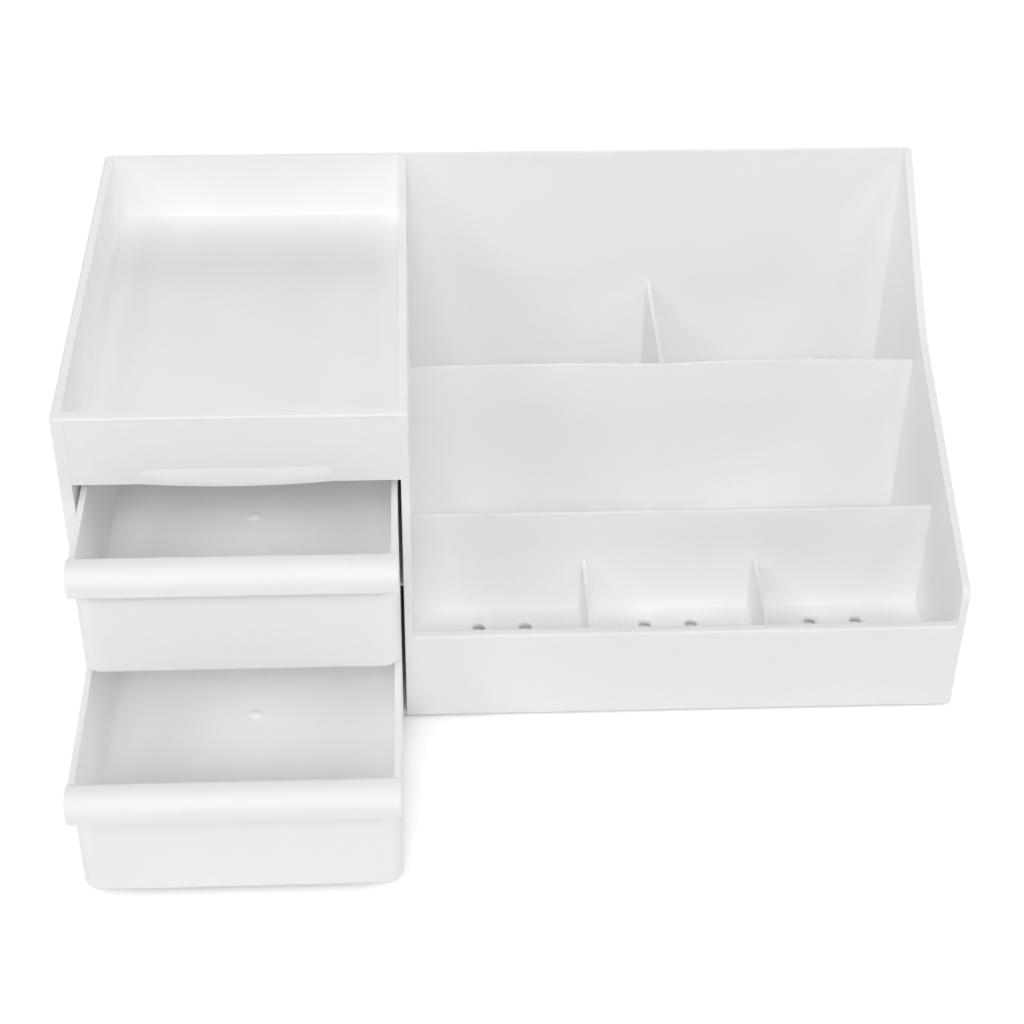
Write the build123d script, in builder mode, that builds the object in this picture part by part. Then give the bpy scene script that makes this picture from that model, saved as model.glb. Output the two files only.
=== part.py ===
from build123d import *
import os

os.makedirs("parts", exist_ok=True)

# Desk organizer box: a tray over two drawers on the left, open pockets on the right.
# Sizes are in millimetres. X runs to the right, the front faces -Y and Z is up.
# The origin is on the table, under the middle of the box as it stands with its drawers part open.

# Case
case_width = 310.0
case_depth = 170.0
case_height = 136.0
back_wall = 2.8
left_wall = 4.2
divider_wall = 2.6
right_wall = 3.0
back_corner = 2.5
post_corner = 1.2
rim_edge = 1.0

# Drawer bay
bay_width = 107.7
head_room = 7.0

# Tray over the drawers
tray_depth = 25.6
tray_floor = 1.6
tray_side = 3.2
tray_front = 3.7
tray_rim = 1.0
fascia_recess = 0.4
tray_fillet = 1.0

# Finger scoop at the foot of the fascia
scoop_length = 62.7
scoop_height = 6.6
scoop_depth = 0.7
scoop_lip_reach = 0.4
scoop_lip_drop = 1.2

# Pockets, from the front to the back
front_pockets = 3
pocket_floor = 2.2
lip_height = 38.8
lip_wall = 3.9
lip_edge = 1.0
front_pocket_depth = 49.3
front_partition_wall = 2.0
front_partition_height = 50.5
middle_pocket_depth = 53.5
rear_partition_wall = 1.8
rear_partition_height = 77.3
left_span_bow = 1.4
right_span_bow = 2.2
span_joint_round = 8.0
rib_wall = 1.6
rear_rib_height = 77.0
front_rib_height = 27.7
wall_top_round = 0.6

# Curved top edge of the right side wall
edge_landing = 3.5
knee_depth = 106.6
knee_height = 90.7
nose_height = 54.8
landing_round = 4.0
knee_round = 90.0
nose_round = 5.0

# Drain holes in the front pockets
drain_hole_diameter = 4.7
drain_sink_diameter = 5.9
drain_spacing = 17.6
drain_setback = 8.8
drain_pitch_share = 0.98

# Drawers
drawer_wall = 2.0
drawer_front_wall = 2.5
drawer_floor = 2.2
drawer_corner = 6.0
drawer_bottom_round = 1.5
drawer_inside_corner = 2.0
drawer_inside_round = 1.4
drawer_side_gap = 1.35
drawer_rear_gap = 1.5
pip_diameter = 5.0
pip_height = 0.7
upper_opening = 38.8
lower_opening = 89.5

# Rolled drawer handles
handle_reach = 7.3
handle_drop = 9.65
handle_rise = 1.5
handle_round = 5.9
handle_back_round = 2.3
handle_wall = 2.0
handle_overhang = 0.4
handle_edge = 0.8

# Plates that carry the drawers
base_thickness = 2.0
shelf_thickness = 1.3
shelf_setback = 2.8
plate_gap = 0.2
rim_gap = 0.4
runner_width = 3.0
runner_height = 0.4
runner_inset = 14.0
running_gap = 0.3
tab_length = 14.0
tab_reach = 1.0
tab_inset = 40.0

# Feet
foot_diameter = 4.6
foot_height = 1.2
foot_edge = 0.3
foot_inset = 0.6

# Overrun of every cut past the surface it opens
overrun = 5.0

# Places across the box
case_left = -case_width / 2
case_right = case_width / 2
bay_left = case_left + left_wall
divider_left = bay_left + bay_width
divider_right = divider_left + divider_wall
pocket_right = case_right - right_wall
bay_centre = (bay_left + divider_left) / 2
pocket_centre = (divider_right + pocket_right) / 2

# Places from the front to the back; the open lower drawer reaches as far forward as the back reaches back
case_front = (lower_opening - case_depth) / 2
case_back = case_front + case_depth
back_inside = case_back - back_wall
fascia_face = case_front + fascia_recess
tray_inside = case_front + tray_front
lip_back = case_front + lip_wall
front_partition_face = lip_back + front_pocket_depth
front_partition_back = front_partition_face + front_partition_wall
rear_partition_face = front_partition_back + middle_pocket_depth
rear_partition_back = rear_partition_face + rear_partition_wall

# Levels above the table
case_bottom = foot_height
pocket_level = case_bottom + pocket_floor
tray_level = case_height - tray_depth
bay_top = tray_level - tray_floor
lower_level = case_bottom + base_thickness + runner_height + running_gap
tier_gap = rim_gap + shelf_thickness + runner_height + running_gap
drawer_height = (bay_top - head_room - lower_level - tier_gap) / 2
shelf_level = lower_level + drawer_height + rim_gap
upper_level = lower_level + drawer_height + tier_gap

# Drawer sizes that follow from the bay
handle_depth = handle_reach + drawer_front_wall
drawer_width = bay_width - 2 * drawer_side_gap
drawer_length = case_depth - back_wall - drawer_rear_gap - handle_reach


def block(low, high, mode=Mode.ADD):
    """Box between two corners, in the part being built."""
    size = [top - bottom for bottom, top in zip(low, high)]
    with Locations(low):
        Box(*size, align=(Align.MIN, Align.MIN, Align.MIN), mode=mode)


def rounded_wall(plane, left, right, top, length):
    """Upright wall with rounded top edges, from its section on a plane along that plane's normal."""
    with BuildSketch(plane) as section:
        with BuildLine():
            FilletPolyline(
                (left, case_bottom),
                (left, top),
                (right, top),
                (right, case_bottom),
                radius=wall_top_round,
            )
            Line((right, case_bottom), (left, case_bottom))
        make_face()
    extrude(section.sketch, amount=length)


def snap_tabs(level, thickness, gap, mode=Mode.ADD):
    """Two tabs on each side of a plate in the drawer bay, or their pockets in the walls."""
    half = tab_length / 2 + gap
    for middle in (case_front + tab_inset, back_inside - tab_inset):
        low = (bay_left - tab_reach - gap, middle - half, level - gap)
        high = (divider_left + tab_reach + gap, middle + half, level + thickness + gap)
        block(low, high, mode)


# Finger scoop: the hollow in the fascia, deepest at its top
scoop_foot = bay_top + scoop_height / 2
scoop_top = bay_top + scoop_height
scoop_left = bay_centre - scoop_length / 2
scoop_right = bay_centre + scoop_length / 2
with BuildPart() as scoop_hollow:
    with BuildSketch(Plane.YZ.offset(bay_centre)):
        with BuildLine():
            Polyline(
                (fascia_face - overrun, scoop_top),
                (fascia_face + scoop_depth, scoop_top),
                (fascia_face, scoop_foot),
                (fascia_face - overrun, scoop_foot),
                close=True,
            )
        make_face()
    extrude(amount=scoop_length / 2, both=True)
    with BuildSketch(Plane.XZ.offset(-fascia_face)):
        with Locations((bay_centre, scoop_foot)):
            SlotOverall(scoop_length, scoop_height)
    extrude(amount=overrun, both=True, mode=Mode.INTERSECT)

# Finger scoop: the lip that comes forward and hangs a little under the fascia
lip_front = fascia_face - scoop_lip_reach
lip_bottom = bay_top - scoop_lip_drop
with BuildPart() as scoop_lip:
    with BuildSketch(Plane.YZ.offset(bay_centre)):
        with BuildLine():
            Polyline(
                (tray_inside, scoop_foot),
                (fascia_face, scoop_foot),
                (lip_front, bay_top),
                (lip_front, lip_bottom),
                (tray_inside, lip_bottom),
                close=True,
            )
        make_face()
    extrude(amount=scoop_length / 2, both=True)
    with BuildSketch(Plane.XY.offset(lip_bottom)):
        with BuildLine():
            ThreePointArc((scoop_left, fascia_face), (bay_centre, lip_front), (scoop_right, fascia_face))
            Polyline(
                (scoop_right, fascia_face),
                (scoop_right, tray_inside),
                (scoop_left, tray_inside),
                (scoop_left, fascia_face),
            )
        make_face()
    extrude(amount=scoop_top - lip_bottom, mode=Mode.INTERSECT)
    with BuildSketch(Plane.XZ.offset(-fascia_face)):
        with BuildLine():
            ThreePointArc((scoop_left, bay_top), (bay_centre, lip_bottom), (scoop_right, bay_top))
            Polyline(
                (scoop_right, bay_top),
                (scoop_right, scoop_top),
                (scoop_left, scoop_top),
                (scoop_left, bay_top),
            )
        make_face()
    extrude(amount=overrun, both=True, mode=Mode.INTERSECT)

# Rear partition, in two spans that bow to the back and are rounded at the top
wall_end = case_right - rim_edge
left_span_middle = (divider_left + pocket_centre) / 2
right_span_middle = (pocket_centre + wall_end) / 2
with BuildPart() as rear_partition:
    with BuildSketch(Plane.XY.offset(case_bottom)) as partition_plan:
        with BuildLine():
            ThreePointArc(
                (divider_left, rear_partition_face),
                (left_span_middle, rear_partition_face + left_span_bow),
                (pocket_centre, rear_partition_face),
            )
            ThreePointArc(
                (pocket_centre, rear_partition_face),
                (right_span_middle, rear_partition_face + right_span_bow),
                (wall_end, rear_partition_face),
            )
            Line((wall_end, rear_partition_face), (wall_end, rear_partition_back))
            ThreePointArc(
                (wall_end, rear_partition_back),
                (right_span_middle, rear_partition_back + right_span_bow),
                (pocket_centre, rear_partition_back),
            )
            ThreePointArc(
                (pocket_centre, rear_partition_back),
                (left_span_middle, rear_partition_back + left_span_bow),
                (divider_left, rear_partition_back),
            )
            Line((divider_left, rear_partition_back), (divider_left, rear_partition_face))
        make_face()
        span_joint = partition_plan.vertices().sort_by_distance((pocket_centre, rear_partition_face))[0]
        fillet(span_joint, span_joint_round)
    extrude(amount=rear_partition_height - case_bottom)
    span_tops = rear_partition.faces().sort_by(Axis.Z)[-1].edges().filter_by(GeomType.CIRCLE)
    fillet(span_tops, wall_top_round)

# Case: one moulding
with BuildPart() as case:
    # Outside of the drawer side and of the pocket side
    block((case_left, case_front, case_bottom), (divider_right, case_back, case_height))
    with BuildSketch(Plane.YZ.offset(divider_left)):
        with BuildLine():
            FilletPolyline(
                (case_back, case_bottom),
                (case_back, case_height),
                (case_back - edge_landing, case_height),
                (case_front + knee_depth, knee_height),
                (case_front, nose_height),
                (case_front, case_bottom),
                radius=(0, landing_round, knee_round, nose_round),
            )
            Line((case_front, case_bottom), (case_back, case_bottom))
        make_face()
    extrude(amount=case_right - divider_left)
    # Rounded back corners, left front post, and right rim from the back over the nose to the front foot
    fillet(case.edges().filter_by(Axis.Z).group_by(Axis.Y)[-1], back_corner)
    fillet(case.edges().filter_by(Axis.Z).group_by(Axis.X)[0].sort_by(Axis.Y)[0], post_corner)
    right_edges = case.faces().sort_by(Axis.X)[-1].edges()
    fillet(right_edges.sort_by(Axis.Z)[1:].sort_by(Axis.Y)[:-1], rim_edge)

    # Drawer bay, open at the front and below
    block(
        (bay_left, case_front - overrun, case_bottom - overrun),
        (divider_left, back_inside, bay_top),
        Mode.SUBTRACT,
    )
    snap_tabs(case_bottom, base_thickness, plate_gap, Mode.SUBTRACT)
    snap_tabs(shelf_level, shelf_thickness, plate_gap, Mode.SUBTRACT)

    # Tray, with its fascia set back between the left post, the rim and the divider
    block(
        (case_left + tray_side, tray_inside, tray_level),
        (divider_left, back_inside, case_height + overrun),
        Mode.SUBTRACT,
    )
    block(
        (bay_left, case_front - overrun, bay_top - overrun),
        (divider_left, fascia_face, case_height - tray_rim),
        Mode.SUBTRACT,
    )
    tray_edges = case.faces().filter_by_position(Axis.Z, tray_level, tray_level).edges()
    fillet(tray_edges, tray_fillet)
    add(scoop_lip.part)
    add(scoop_hollow.part, mode=Mode.SUBTRACT)

    # Pocket side, hollowed to its floor and cut down to the front lip
    block(
        (divider_right, lip_back, pocket_level),
        (pocket_right, back_inside, case_height + overrun),
        Mode.SUBTRACT,
    )
    block(
        (divider_right, case_front - overrun, lip_height),
        (pocket_right, lip_back + overrun, case_height + overrun),
        Mode.SUBTRACT,
    )
    fillet(case.edges().filter_by(Axis.X).filter_by_position(Axis.Z, lip_height, lip_height), lip_edge)

    # Front and rear partitions
    rounded_wall(
        Plane.YZ.offset(divider_left),
        front_partition_face,
        front_partition_back,
        front_partition_height,
        wall_end - divider_left,
    )
    add(rear_partition.part)

    # Short ribs, from the middle of one wall to the middle of the next: one between the back pockets
    rib_start = back_inside + back_wall / 2
    rounded_wall(
        Plane.XZ.offset(-rib_start),
        pocket_centre - rib_wall / 2,
        pocket_centre + rib_wall / 2,
        rear_rib_height,
        rib_start - (rear_partition_face + rear_partition_back) / 2,
    )

    # Two short ribs between the front pockets
    pocket_pitch = (pocket_right - divider_right) / front_pockets
    rib_start = (front_partition_face + front_partition_back) / 2
    for pocket in range(1, front_pockets):
        rib_centre = divider_right + pocket * pocket_pitch
        rounded_wall(
            Plane.XZ.offset(-rib_start),
            rib_centre - rib_wall / 2,
            rib_centre + rib_wall / 2,
            front_rib_height,
            rib_start - (case_front + lip_back) / 2,
        )

    # A pair of drain holes in each front pocket, the outer pairs a little nearer to the middle
    with Locations((pocket_centre, front_partition_face - drain_setback, pocket_level)):
        with GridLocations(drain_pitch_share * pocket_pitch, 0, front_pockets, 1):
            with GridLocations(drain_spacing, 0, 2, 1):
                CounterSinkHole(drain_hole_diameter / 2, drain_sink_diameter / 2)
case.part.label = "case"
export_step(case.part, "parts/case.step")

# Runners and snap tabs of the two plates
runner_places = (bay_left + runner_inset, divider_left - runner_inset)

# Base plate under the lower drawer
with BuildPart() as base_plate:
    base_top = case_bottom + base_thickness
    block(
        (bay_left + plate_gap, case_front + plate_gap, case_bottom),
        (divider_left - plate_gap, back_inside - plate_gap, base_top),
    )
    snap_tabs(case_bottom, base_thickness, 0)
    for place in runner_places:
        block(
            (place - runner_width / 2, case_front + plate_gap, case_bottom),
            (place + runner_width / 2, back_inside - plate_gap, base_top + runner_height),
        )
base_plate.part.label = "base_plate"
export_step(base_plate.part, "parts/base_plate.step")

# Shelf between the drawers, set back to clear the lower handle
with BuildPart() as drawer_shelf:
    shelf_front = case_front + handle_depth + shelf_setback
    shelf_top = shelf_level + shelf_thickness
    block(
        (bay_left + plate_gap, shelf_front, shelf_level),
        (divider_left - plate_gap, back_inside - plate_gap, shelf_top),
    )
    snap_tabs(shelf_level, shelf_thickness, 0)
    for place in runner_places:
        block(
            (place - runner_width / 2, shelf_front, shelf_level),
            (place + runner_width / 2, back_inside - plate_gap, shelf_top + runner_height),
        )
drawer_shelf.part.label = "drawer_shelf"
export_step(drawer_shelf.part, "parts/drawer_shelf.step")


def make_drawer(label, opening, level):
    """Drawer moulding at its level, pulled out by its opening."""
    front = case_front - opening
    face = front + handle_reach
    inside = face + drawer_front_wall
    body_place = (bay_centre, face + drawer_length / 2)
    hollow_length = drawer_length - drawer_front_wall - drawer_wall
    hollow_place = (bay_centre, inside + hollow_length / 2)
    drawer_rim = level + drawer_height
    crest = drawer_rim + handle_rise
    lip_end = crest - handle_drop
    roof = crest - handle_wall
    lip_inside = front + handle_wall
    handle_half = drawer_width / 2 + handle_overhang

    with BuildPart() as hollow:
        with BuildSketch(Plane.XY.offset(level + drawer_floor)):
            with Locations(hollow_place):
                RectangleRounded(drawer_width - 2 * drawer_wall, hollow_length, drawer_inside_corner)
        extrude(amount=drawer_height)
        fillet(hollow.faces().sort_by(Axis.Z)[0].edges(), drawer_inside_round)

    # Handle: a rolled bar, hollow below so that fingers reach behind its lip
    with BuildPart() as handle:
        with BuildSketch(Plane.YZ.offset(bay_centre)):
            with BuildLine():
                FilletPolyline(
                    (front, lip_end),
                    (front, crest),
                    (inside, crest),
                    (inside, lip_end),
                    radius=(handle_round, handle_back_round),
                )
                Line((inside, lip_end), (front, lip_end))
            make_face()
        extrude(amount=handle_half, both=True)
        fillet(handle.faces().filter_by(Axis.X).edges(), handle_edge)
        with BuildSketch(Plane.YZ.offset(bay_centre)):
            with BuildLine():
                FilletPolyline(
                    (lip_inside, lip_end - overrun),
                    (lip_inside, roof),
                    (face, roof),
                    (face, lip_end - overrun),
                    radius=(handle_round - handle_wall, 0),
                )
                Line((face, lip_end - overrun), (lip_inside, lip_end - overrun))
            make_face()
        extrude(amount=handle_half - handle_wall, both=True, mode=Mode.SUBTRACT)

    # Low domed pip in the middle of the floor, the top of a ball that is sunk in it
    pip_crest = level + drawer_floor + pip_height
    pip_ball = ((pip_diameter / 2) ** 2 + pip_height**2) / (2 * pip_height)
    with BuildPart() as pip:
        with Locations((*body_place, pip_crest - pip_ball)):
            Sphere(pip_ball)
        split(bisect_by=Plane.XY.offset(level + drawer_floor / 2), keep=Keep.TOP)

    with BuildPart() as drawer:
        with BuildSketch(Plane.XY.offset(level)):
            with Locations(body_place):
                RectangleRounded(drawer_width, drawer_length, drawer_corner)
        extrude(amount=drawer_height)
        fillet(drawer.faces().sort_by(Axis.Z)[0].edges(), drawer_bottom_round)
        # Square shoulders, so that the side walls run straight into the ends of the handle
        block(
            (bay_centre - drawer_width / 2, face, lip_end),
            (bay_centre + drawer_width / 2, face + drawer_corner, drawer_rim),
        )
        add(hollow.part, mode=Mode.SUBTRACT)
        add(handle.part)
        add(pip.part)
    drawer.part.label = label
    export_step(drawer.part, f"parts/{label}.step")


make_drawer("upper_drawer", upper_opening, upper_level)
make_drawer("lower_drawer", lower_opening, lower_level)

# Feet under the front and back corners and under both ends of the divider
foot_margin = foot_inset + foot_diameter / 2
foot_columns = {
    "left": case_left + foot_margin,
    "middle": (divider_left + divider_right) / 2,
    "right": case_right - foot_margin,
}
foot_rows = {"front": case_front + foot_margin, "back": case_back - foot_margin}
for row, foot_y in foot_rows.items():
    for column, foot_x in foot_columns.items():
        with BuildPart() as foot:
            with BuildSketch():
                with Locations((foot_x, foot_y)):
                    Circle(foot_diameter / 2)
            extrude(amount=foot_height)
            fillet(foot.edges().group_by(Axis.Z)[0], foot_edge)
        foot.part.label = f"foot_{row}_{column}"
        export_step(foot.part, f"parts/foot_{row}_{column}.step")
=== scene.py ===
import math

import bpy
from mathutils import Matrix, Vector

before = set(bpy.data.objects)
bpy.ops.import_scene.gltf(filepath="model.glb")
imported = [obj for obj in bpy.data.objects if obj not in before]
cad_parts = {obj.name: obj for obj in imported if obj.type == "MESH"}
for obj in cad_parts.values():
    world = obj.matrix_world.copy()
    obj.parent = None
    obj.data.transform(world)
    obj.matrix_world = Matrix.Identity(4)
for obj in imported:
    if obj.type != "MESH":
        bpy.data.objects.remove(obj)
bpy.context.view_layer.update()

# A desk organizer of white moulded plastic on a pale floor, in soft studio light. Lengths are in metres.

scene = bpy.context.scene

# Noises of the plastics: bumps per metre, detail and roughness
CLOUD_NOISE = (16.0, 4.0, 0.55)
SHEEN_NOISE = (34.0, 3.0, 0.6)
RIPPLE_NOISE = (45.0, 2.0, 0.5)
PATCH_NOISE = (210.0, 3.0, 0.6)
SPECKLE_NOISE = (900.0, 1.0, 0.5)
GRAIN_NOISE = (2600.0, 2.0, 0.6)

# Input ranges of the masks: of a noise, of openness, and of the cosine between rounded and true normals
WIDE_NOISE = (0.3, 0.7)
NARROW_NOISE = (0.35, 0.65)
OPEN_EDGE = (0.6, 0.9)
CLOSED_CORNER = (0.75, 0.3)
EDGE_TURN = (0.995, 0.86)

# Output ranges of the masks
UNIT_RANGE = (0.0, 1.0)
# Uneven share of the lighter edges, which are wear and a painted highlight
RUB_AND_HIGHLIGHT_SHARE = (0.2, 1.0)
# Uneven share and strength of the painted shade in corners
CORNER_SHADE_SHARE = (0.3, 1.0)
CORNER_SHADE_STRENGTH = (0.0, 0.2)
SPECKLE_ROUGHNESS = (-0.03, 0.03)

# Other values that all the plastics share
EDGE_POLISH = 0.1
EDGE_SAMPLES = 6
CORNER_REACH = 0.006
CORNER_SAMPLES = 4
RIPPLE_STRENGTH = 0.35
RIPPLE_HEIGHT = 0.0004
GRAIN_HEIGHT = 0.00006
PLASTIC_IOR = 1.49
PLASTIC_SPECULAR = 0.32
GLOW_RADIUS = (1.0, 0.9, 0.8)
GLOW_REACH = 0.0025

# Floor and world: the floor is lifted towards white for the camera, and fully so far from the object; less
# lift where the object covers the floor paints a soft shadow there
FLOOR_HALF = 6.0
FLOOR_GREY = (0.8, 0.8, 0.8, 1.0)
WHITE = (1.0, 1.0, 1.0, 1.0)
NEAR_TO_FAR = (0.7, 2.5)
FLOOR_LIFT = (0.42, 1.0)
COVER_REACH = 0.05
COVER_SAMPLES = 6
UNDER_TO_OPEN = (0.1, 0.5)
ROOM_LEVEL = 0.20
BACKGROUND_LEVEL = 1.0

# Soft boxes: place, side of the square, and power in watts
LAMP_TARGET = (0.0, 0.0, 0.05)
LAMPS = {
    "key": ((-0.2, -3.77, 3.33), 1.2, 73.0),
    "key_left": ((-2.39, -2.85, 3.4), 1.6, 44.0),
    "key_right": ((2.08, -3.08, 3.4), 1.6, 29.0),
    "left_fill": ((-4.54, -0.48, 2.08), 2.5, 44.0),
    "right_fill": ((4.54, -0.48, 2.08), 2.5, 55.0),
    "back_fill": ((0.41, 4.68, 1.76), 2.5, 80.0),
}

# Light bounces many times inside the white drawers and pockets
LIGHT_BOUNCES = 24

# Camera at the photograph's angle: lens and picture in pixels, sensor in millimetres, angles in degrees
LENS_PIXELS = 2115.9
PICTURE_PIXELS = 1024
SENSOR_WIDTH = 36.0
LOOK_DOWN = 38.96
TURN = -2.98
TILT = -0.87
STAND = (-0.03491, -0.58952, 0.53941)
NEAR_CLIP = 0.01

# Sockets of a Mix step for colours, by number because those for numbers and vectors have the same names
MIX_FACTOR = 0
MIX_FIRST = 6
MIX_SECOND = 7
MIX_RESULT = 2


# Small helpers for shader trees

def linker(tree):
    """A function that links two sockets of the tree."""
    return lambda source, target: tree.links.new(source, target)


def new_tree(name):
    """A new material with an empty tree: the material, its nodes and a function that links sockets."""
    material = bpy.data.materials.new(name)
    material.use_nodes = True
    material.node_tree.nodes.clear()
    return material, material.node_tree.nodes, linker(material.node_tree)


def noise(nodes, link, coords, scale, detail, roughness):
    """A noise texture in metres, with scale in bumps per metre."""
    texture = nodes.new("ShaderNodeTexNoise")
    texture.inputs["Scale"].default_value = scale
    texture.inputs["Detail"].default_value = detail
    texture.inputs["Roughness"].default_value = roughness
    link(coords, texture.inputs["Vector"])
    return texture.outputs["Fac"]


def remap(nodes, link, value, source, target):
    """The value stretched from one range to another, and clamped there."""
    step = nodes.new("ShaderNodeMapRange")
    step.clamp = True
    step.inputs["From Min"].default_value, step.inputs["From Max"].default_value = source
    step.inputs["To Min"].default_value, step.inputs["To Max"].default_value = target
    link(value, step.inputs["Value"])
    return step.outputs["Result"]


def math_node(nodes, link, operation, first, second):
    """One arithmetic step on a socket and a socket or number."""
    step = nodes.new("ShaderNodeMath")
    step.operation = operation
    link(first, step.inputs[0])
    if isinstance(second, float):
        step.inputs[1].default_value = second
    else:
        link(second, step.inputs[1])
    return step.outputs["Value"]


def mix_colour(nodes, link, factor, first, second):
    """Two colours mixed by a factor; each is a socket or three numbers."""
    step = nodes.new("ShaderNodeMix")
    step.data_type = "RGBA"
    link(factor, step.inputs[MIX_FACTOR])
    for number, colour in ((MIX_FIRST, first), (MIX_SECOND, second)):
        if isinstance(colour, tuple):
            step.inputs[number].default_value = (*colour, 1.0)
        else:
            link(colour, step.inputs[number])
    return step.outputs[MIX_RESULT]


def openness(nodes, reach, samples):
    """How open the surface is to the room: 1 on flats and outer edges, and less where surfaces meet."""
    cover = nodes.new("ShaderNodeAmbientOcclusion")
    cover.samples = samples
    cover.inputs["Distance"].default_value = reach
    return cover.outputs["AO"]


def bump(nodes, link, height, strength, distance):
    """A bump step on a height."""
    step = nodes.new("ShaderNodeBump")
    step.inputs["Strength"].default_value = strength
    step.inputs["Distance"].default_value = distance
    link(height, step.inputs["Height"])
    return step


# The plastics

def rubbed_and_highlit_edges(nodes, link, edge, open_here, patches):
    """Outer edges, where hands rub and where a painted highlight stands for light on rounded edges, in uneven
    patches.
    """
    rounded = nodes.new("ShaderNodeBevel")
    rounded.samples = EDGE_SAMPLES
    rounded.inputs["Radius"].default_value = edge
    cosine = nodes.new("ShaderNodeVectorMath")
    cosine.operation = "DOT_PRODUCT"
    link(rounded.outputs["Normal"], cosine.inputs[0])
    link(nodes.new("ShaderNodeNewGeometry").outputs["Normal"], cosine.inputs[1])
    on_edge = remap(nodes, link, cosine.outputs["Value"], EDGE_TURN, UNIT_RANGE)
    outside = remap(nodes, link, open_here, OPEN_EDGE, UNIT_RANGE)
    uneven = remap(nodes, link, patches, NARROW_NOISE, RUB_AND_HIGHLIGHT_SHARE)
    on_edge = math_node(nodes, link, "MULTIPLY", on_edge, outside)
    return math_node(nodes, link, "MULTIPLY", on_edge, uneven)


def moulded_plastic(name, colour, shade, worn_and_highlit, painted_corner_shade, roughness, grain, edge, glow):
    """Satin moulded plastic: faint mottling, lighter edges that are wear and a painted highlight, painted
    shade in the corners, fine grain and patches of sheen.
    """
    material, nodes, link = new_tree(name)
    coords = nodes.new("ShaderNodeTexCoord").outputs["Object"]
    patches = noise(nodes, link, coords, *PATCH_NOISE)
    open_here = openness(nodes, CORNER_REACH, CORNER_SAMPLES)
    rubbed_and_highlit = rubbed_and_highlit_edges(nodes, link, edge, open_here, patches)

    # Cloudy colour from uneven cooling, then edges lightened as wear and painted highlight, then painted
    # shade where surfaces meet
    cloud = remap(nodes, link, noise(nodes, link, coords, *CLOUD_NOISE), WIDE_NOISE, UNIT_RANGE)
    body = mix_colour(nodes, link, cloud, colour, shade)
    # Painted highlight and wear: outer edges take the lighter edge colour
    body = mix_colour(nodes, link, rubbed_and_highlit, body, worn_and_highlit)
    # Painted shade: where surfaces meet and little light reaches, the colour darkens towards the darker
    # corner colour, in uneven patches
    painted_shade = remap(nodes, link, open_here, CLOSED_CORNER, CORNER_SHADE_STRENGTH)
    uneven = remap(nodes, link, patches, WIDE_NOISE, CORNER_SHADE_SHARE)
    painted_shade = math_node(nodes, link, "MULTIPLY", painted_shade, uneven)
    body = mix_colour(nodes, link, painted_shade, body, painted_corner_shade)

    # Sheen: broad satin patches, fine speckle, and edges polished by handling
    sheen = remap(nodes, link, noise(nodes, link, coords, *SHEEN_NOISE), WIDE_NOISE, roughness)
    speckle = noise(nodes, link, coords, *SPECKLE_NOISE)
    speckle = remap(nodes, link, speckle, NARROW_NOISE, SPECKLE_ROUGHNESS)
    polish = math_node(nodes, link, "MULTIPLY", rubbed_and_highlit, EDGE_POLISH)
    sheen = math_node(nodes, link, "ADD", sheen, speckle)
    sheen = math_node(nodes, link, "SUBTRACT", sheen, polish)

    # Fine spark-eroded grain over a very slight waviness of the walls
    wavy = bump(nodes, link, noise(nodes, link, coords, *RIPPLE_NOISE), RIPPLE_STRENGTH, RIPPLE_HEIGHT)
    fine = bump(nodes, link, noise(nodes, link, coords, *GRAIN_NOISE), grain, GRAIN_HEIGHT)
    link(wavy.outputs["Normal"], fine.inputs["Normal"])

    shader = nodes.new("ShaderNodeBsdfPrincipled")
    shader.inputs["IOR"].default_value = PLASTIC_IOR
    shader.inputs["Specular IOR Level"].default_value = PLASTIC_SPECULAR
    shader.inputs["Subsurface Weight"].default_value = glow
    shader.inputs["Subsurface Radius"].default_value = GLOW_RADIUS
    shader.inputs["Subsurface Scale"].default_value = GLOW_REACH
    link(body, shader.inputs["Base Color"])
    link(sheen, shader.inputs["Roughness"])
    link(fine.outputs["Normal"], shader.inputs["Normal"])
    link(shader.outputs["BSDF"], nodes.new("ShaderNodeOutputMaterial").inputs["Surface"])
    return material


# In each plastic below, the darker corner colour is painted shade, and the lighter edge colour is wear and a
# painted highlight
case_plastic = moulded_plastic(
    "case_plastic",
    colour=(0.924, 0.924, 0.922),
    shade=(0.909, 0.910, 0.911),
    worn_and_highlit=(0.962, 0.962, 0.959),
    painted_corner_shade=(0.83, 0.82, 0.80),
    roughness=(0.48, 0.60),
    grain=0.30,
    edge=0.0006,
    glow=0.12,
)
# A lighter copy of the case's white plastic: the extra lightness is painted light for the drawers, chiefly
# their shaded insides
drawer_plastic_lightened = moulded_plastic(
    "drawer_plastic_lightened",
    colour=(0.952, 0.950, 0.946),
    shade=(0.938, 0.936, 0.932),
    worn_and_highlit=(0.972, 0.971, 0.967),
    painted_corner_shade=(0.87, 0.85, 0.825),
    roughness=(0.56, 0.68),
    grain=0.26,
    edge=0.0005,
    glow=0.16,
)
plate_plastic = moulded_plastic(
    "plate_plastic",
    colour=(0.855, 0.853, 0.848),
    shade=(0.828, 0.826, 0.822),
    worn_and_highlit=(0.880, 0.878, 0.872),
    painted_corner_shade=(0.66, 0.65, 0.62),
    roughness=(0.42, 0.55),
    grain=0.40,
    edge=0.0004,
    glow=0.12,
)
foot_pad = moulded_plastic(
    "foot_pad",
    colour=(0.800, 0.798, 0.790),
    shade=(0.755, 0.753, 0.745),
    worn_and_highlit=(0.820, 0.818, 0.810),
    painted_corner_shade=(0.55, 0.54, 0.52),
    roughness=(0.60, 0.75),
    grain=0.50,
    edge=0.0003,
    glow=0.10,
)

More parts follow.
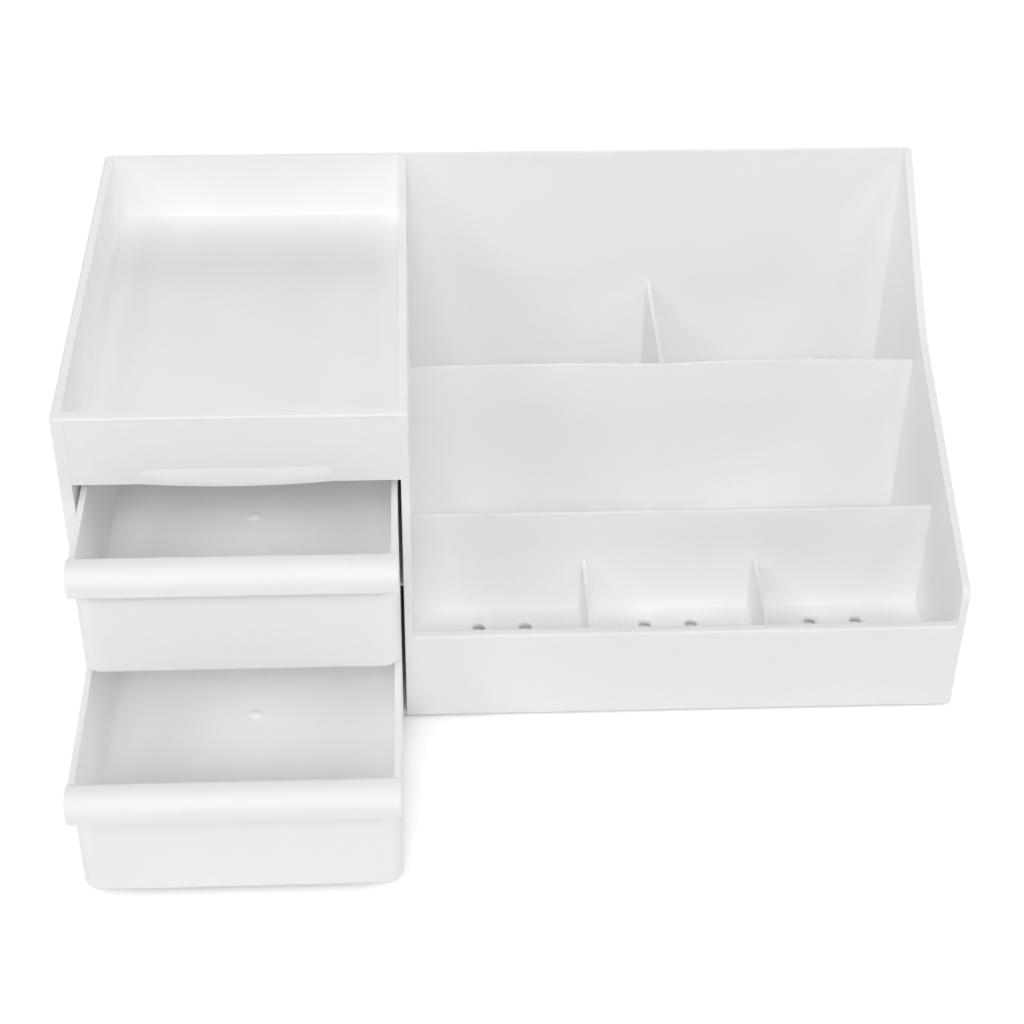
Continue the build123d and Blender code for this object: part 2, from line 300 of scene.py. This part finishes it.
# Each piece takes its plastic here, and the feet, which aren't listed, are pads
finish = {
    "case": case_plastic,
    "base_plate": plate_plastic,
    "drawer_shelf": plate_plastic,
    "upper_drawer": drawer_plastic_lightened,
    "lower_drawer": drawer_plastic_lightened,
}
for node_name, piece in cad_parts.items():
    piece.data.materials.clear()
    piece.data.materials.append(finish.get(node_name, foot_pad))


# Floor, world and lamps

def shown_directly(nodes, link):
    """1 for what the camera sees, also mirrored or through something clear, and 0 for other light."""
    path = nodes.new("ShaderNodeLightPath")
    seen = math_node(nodes, link, "MAXIMUM", path.outputs["Is Camera Ray"], path.outputs["Is Glossy Ray"])
    return math_node(nodes, link, "MAXIMUM", seen, path.outputs["Is Transmission Ray"])


def floor_material():
    """Pale grey, lifted towards white for the camera except under the object, where the missing lift is a
    painted shadow.
    """
    material, nodes, link = new_tree("floor_white")
    diffuse = nodes.new("ShaderNodeBsdfDiffuse")
    diffuse.inputs["Color"].default_value = FLOOR_GREY
    distance = nodes.new("ShaderNodeVectorMath")
    distance.operation = "LENGTH"
    link(nodes.new("ShaderNodeTexCoord").outputs["Object"], distance.inputs[0])
    lift = remap(nodes, link, distance.outputs["Value"], NEAR_TO_FAR, FLOOR_LIFT)
    # Painted shadow: the lift fades where the object covers the floor
    outside_painted_shadow = remap(nodes, link, openness(nodes, COVER_REACH, COVER_SAMPLES), UNDER_TO_OPEN, UNIT_RANGE)
    lift = math_node(nodes, link, "MULTIPLY", lift, outside_painted_shadow)
    lift = math_node(nodes, link, "MULTIPLY", lift, shown_directly(nodes, link))
    glow = nodes.new("ShaderNodeEmission")
    glow.inputs["Color"].default_value = WHITE
    link(lift, glow.inputs["Strength"])
    both = nodes.new("ShaderNodeAddShader")
    link(diffuse.outputs["BSDF"], both.inputs[0])
    link(glow.outputs["Emission"], both.inputs[1])
    link(both.outputs["Shader"], nodes.new("ShaderNodeOutputMaterial").inputs["Surface"])
    return material


def pale_floor():
    """A wide square plane under the feet."""
    near, far = -FLOOR_HALF, FLOOR_HALF
    corners = [(near, near, 0.0), (far, near, 0.0), (far, far, 0.0), (near, far, 0.0)]
    mesh = bpy.data.meshes.new("floor")
    mesh.from_pydata(corners, [], [(0, 1, 2, 3)])
    mesh.materials.append(floor_material())
    floor = bpy.data.objects.new("floor", mesh)
    scene.collection.objects.link(floor)


def studio_world():
    """Even light from the room, and plain white where the background shows."""
    world = bpy.data.worlds.new("studio")
    world.use_nodes = True
    nodes = world.node_tree.nodes
    nodes.clear()
    link = linker(world.node_tree)
    choose = nodes.new("ShaderNodeMixShader")
    link(shown_directly(nodes, link), choose.inputs["Fac"])
    for socket, level in ((choose.inputs[1], ROOM_LEVEL), (choose.inputs[2], BACKGROUND_LEVEL)):
        light = nodes.new("ShaderNodeBackground")
        light.inputs["Color"].default_value = WHITE
        light.inputs["Strength"].default_value = level
        link(light.outputs["Background"], socket)
    link(choose.outputs["Shader"], nodes.new("ShaderNodeOutputWorld").inputs["Surface"])
    scene.world = world


def soft_box(name, place, side, power):
    """A square area lamp that faces the target."""
    lamp = bpy.data.lights.new(name, "AREA")
    lamp.shape = "SQUARE"
    lamp.size = side
    lamp.energy = power
    holder = bpy.data.objects.new(name, lamp)
    holder.location = place
    holder.rotation_euler = (Vector(LAMP_TARGET) - Vector(place)).to_track_quat("-Z", "Y").to_euler()
    scene.collection.objects.link(holder)


pale_floor()
studio_world()
for lamp_name, (place, side, power) in LAMPS.items():
    soft_box(lamp_name, place, side, power)


# Camera and view

def photo_camera():
    """A camera that looks down, is turned about the vertical and slightly tilted."""
    look_down = math.radians(LOOK_DOWN)
    tilt = math.radians(TILT)
    swing = Matrix.Rotation(math.radians(TURN), 3, "Z")
    forward = swing @ Vector((0.0, math.cos(look_down), -math.sin(look_down)))
    right = swing @ Vector((1.0, 0.0, 0.0))
    down = forward.cross(right)
    across = math.cos(tilt) * right + math.sin(tilt) * down
    below = -math.sin(tilt) * right + math.cos(tilt) * down
    turned = Matrix((across, -below, -forward)).transposed()
    lens = bpy.data.cameras.new("camera")
    lens.sensor_fit = "HORIZONTAL"
    lens.sensor_width = SENSOR_WIDTH
    lens.lens = SENSOR_WIDTH * LENS_PIXELS / PICTURE_PIXELS
    lens.clip_start = NEAR_CLIP
    camera = bpy.data.objects.new("camera", lens)
    camera.matrix_world = Matrix.Translation(STAND) @ turned.to_4x4()
    scene.collection.objects.link(camera)
    return camera


scene.camera = photo_camera()
scene.view_settings.view_transform = "Standard"
scene.cycles.max_bounces = LIGHT_BOUNCES
scene.cycles.diffuse_bounces = LIGHT_BOUNCES
